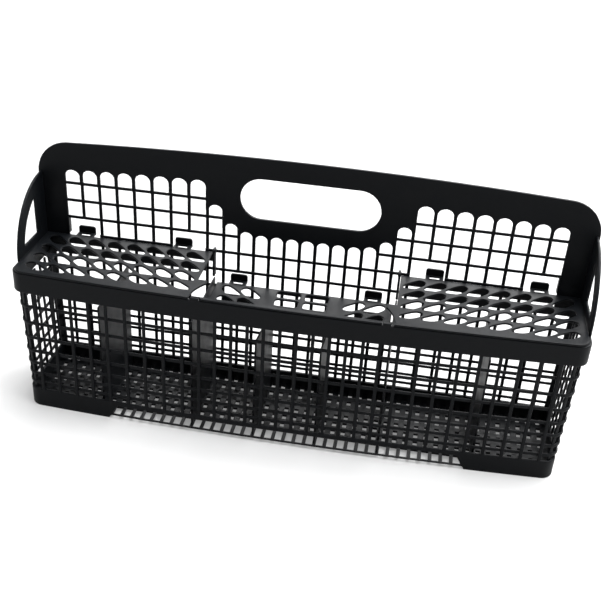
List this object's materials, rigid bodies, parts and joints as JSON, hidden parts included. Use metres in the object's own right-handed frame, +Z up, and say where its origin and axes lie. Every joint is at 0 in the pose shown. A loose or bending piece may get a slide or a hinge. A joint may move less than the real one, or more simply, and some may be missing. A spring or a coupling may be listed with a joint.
{
  "type": "dishwasher cutlery basket",
  "caption": "Long open-lattice cutlery basket with a tall handle panel, cross dividers and hinged perforated lids, for a dishwasher door.",
  "frame": {"origin": "centre of the footprint, on the plane of the feet", "axes": "+X along the basket to the right seen from the front, +Y from the front wall to the tall panel, +Z up"},
  "size_m": [0.514, 0.1, 0.2429],
  "materials": {
    "black_plastic": "satin black polypropylene"
  },
  "bodies": {
    "basket": {"basket_body": "black_plastic"},
    "left_lid": {"left_lid": "black_plastic"},
    "middle_lid": {"middle_lid": "black_plastic"},
    "right_lid": {"right_lid": "black_plastic"}
  },
  "joints": [
    {"name": "left_lid_hinge", "type": "hinge", "parent": "basket", "child": "left_lid", "pos_m": [-0.171, 0.0391, 0.144], "axis": [-1, 0, 0], "range_deg": [0, 88]},
    {"name": "middle_lid_hinge", "type": "hinge", "parent": "basket", "child": "middle_lid", "pos_m": [0, 0.0391, 0.1125], "axis": [-1, 0, 0], "range_deg": [0, 68]},
    {"name": "right_lid_hinge", "type": "hinge", "parent": "basket", "child": "right_lid", "pos_m": [0.171, 0.0391, 0.144], "axis": [-1, 0, 0], "range_deg": [0, 88]}
  ]
}
